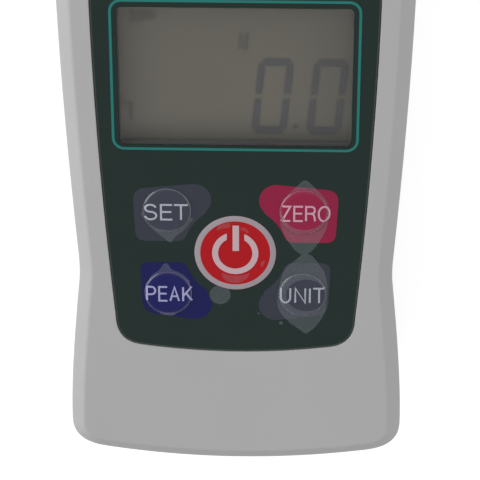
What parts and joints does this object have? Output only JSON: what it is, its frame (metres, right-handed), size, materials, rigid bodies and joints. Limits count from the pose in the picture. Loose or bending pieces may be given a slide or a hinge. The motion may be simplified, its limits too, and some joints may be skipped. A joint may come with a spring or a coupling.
{
  "type": "digital force gauge",
  "caption": "Handheld digital force gauge with a waisted two-part casing, a display panel with round keys, and a tension hook on its measuring shaft.",
  "frame": {"origin": "middle of the base of the gauge as it lies on its back, hook included", "axes": "+X across the casing, +Y out of the measuring end, +Z out of the display"},
  "size_m": [0.066, 0.2298, 0.036],
  "materials": {
    "grey_casing": "sprayed grey on moulded ABS, fine satin grain",
    "printed_film": "dark green-black printed polycarbonate film",
    "clear_acrylic": "clear moulded acrylic",
    "display_glass": "warm grey liquid crystal glass",
    "grey_key": "slate grey printed key",
    "crimson_key": "crimson printed key",
    "navy_key": "navy blue printed key",
    "red_key": "red printed key with a pale ring",
    "black_plastic": "black moulded plastic",
    "white_plastic": "white moulded plastic",
    "board_laminate": "green solder mask on glass laminate",
    "conductive_rubber": "pink silicone rubber strip",
    "anodised_aluminium": "clear anodised, machined",
    "zinc_steel": "zinc plated steel",
    "stainless_steel": "turned and polished stainless steel",
    "brass": "turned brass",
    "green_sleeve": "green shrink sleeve",
    "nickel_shell": "nickel plated shell",
    "red_insulation": "red wire insulation",
    "black_sheath": "black cable sheath"
  },
  "bodies": {
    "casing": {"front_cover": "grey_casing", "rear_cover": "grey_casing", "graphic_overlay": "printed_film", "display_window": "clear_acrylic", "set_switch": "black_plastic", "zero_switch": "black_plastic", "power_switch": "black_plastic", "peak_switch": "black_plastic", "unit_switch": "black_plastic", "display_glass": "display_glass", "display_frame": "black_plastic", "backlight": "white_plastic", "contact_strip_upper": "conductive_rubber", "contact_strip_lower": "conductive_rubber", "main_board": "board_laminate", "processor_chip": "black_plastic", "amplifier_chip": "black_plastic", "charger_socket": "black_plastic", "data_socket": "nickel_shell", "battery_lead": "red_insulation", "cell_cable": "black_sheath", "board_screw_1": "zinc_steel", "board_screw_2": "zinc_steel", "board_screw_3": "zinc_steel", "board_screw_4": "zinc_steel", "case_screw_1": "zinc_steel", "case_screw_2": "zinc_steel", "case_screw_3": "zinc_steel", "case_screw_4": "zinc_steel", "chassis_plate": "zinc_steel", "anchor_block": "anodised_aluminium", "load_cell": "anodised_aluminium", "mounting_insert_1": "brass", "mounting_insert_2": "brass", "mounting_insert_3": "brass", "mounting_insert_4": "brass", "chassis_screw_1": "zinc_steel", "chassis_screw_2": "zinc_steel", "anchor_screw_1": "zinc_steel", "anchor_screw_2": "zinc_steel", "anchor_bolt": "zinc_steel", "shaft_bush": "black_plastic", "battery_cradle": "black_plastic", "battery_cell_1": "green_sleeve", "battery_cell_2": "green_sleeve", "battery_cell_3": "green_sleeve"},
    "set_button": {"set_key": "grey_key", "set_switch_plunger": "white_plastic"},
    "zero_button": {"zero_key": "crimson_key", "zero_switch_plunger": "white_plastic"},
    "power_button": {"power_key": "red_key", "power_switch_plunger": "white_plastic"},
    "peak_button": {"peak_key": "navy_key", "peak_switch_plunger": "white_plastic"},
    "unit_button": {"unit_key": "grey_key", "unit_switch_plunger": "white_plastic"},
    "measuring_end": {"measuring_shaft": "stainless_steel", "lock_nut": "stainless_steel", "tension_hook": "stainless_steel"}
  },
  "joints": [
    {"name": "set_press", "type": "slide", "parent": "casing", "child": "set_button", "axis": [0, 0, -1], "range_m": [0, 0.0004], "stiffness_N_per_m": 4000},
    {"name": "zero_press", "type": "slide", "parent": "casing", "child": "zero_button", "axis": [0, 0, -1], "range_m": [0, 0.0004], "stiffness_N_per_m": 4000},
    {"name": "power_press", "type": "slide", "parent": "casing", "child": "power_button", "axis": [0, 0, -1], "range_m": [0, 0.0004], "stiffness_N_per_m": 4000},
    {"name": "peak_press", "type": "slide", "parent": "casing", "child": "peak_button", "axis": [0, 0, -1], "range_m": [0, 0.0004], "stiffness_N_per_m": 4000},
    {"name": "unit_press", "type": "slide", "parent": "casing", "child": "unit_button", "axis": [0, 0, -1], "range_m": [0, 0.0004], "stiffness_N_per_m": 4000},
    {"name": "load_slide", "type": "slide", "parent": "casing", "child": "measuring_end", "axis": [0, 1, 0], "range_m": [-0.0002, 0.0002], "stiffness_N_per_m": 20000}
  ]
}
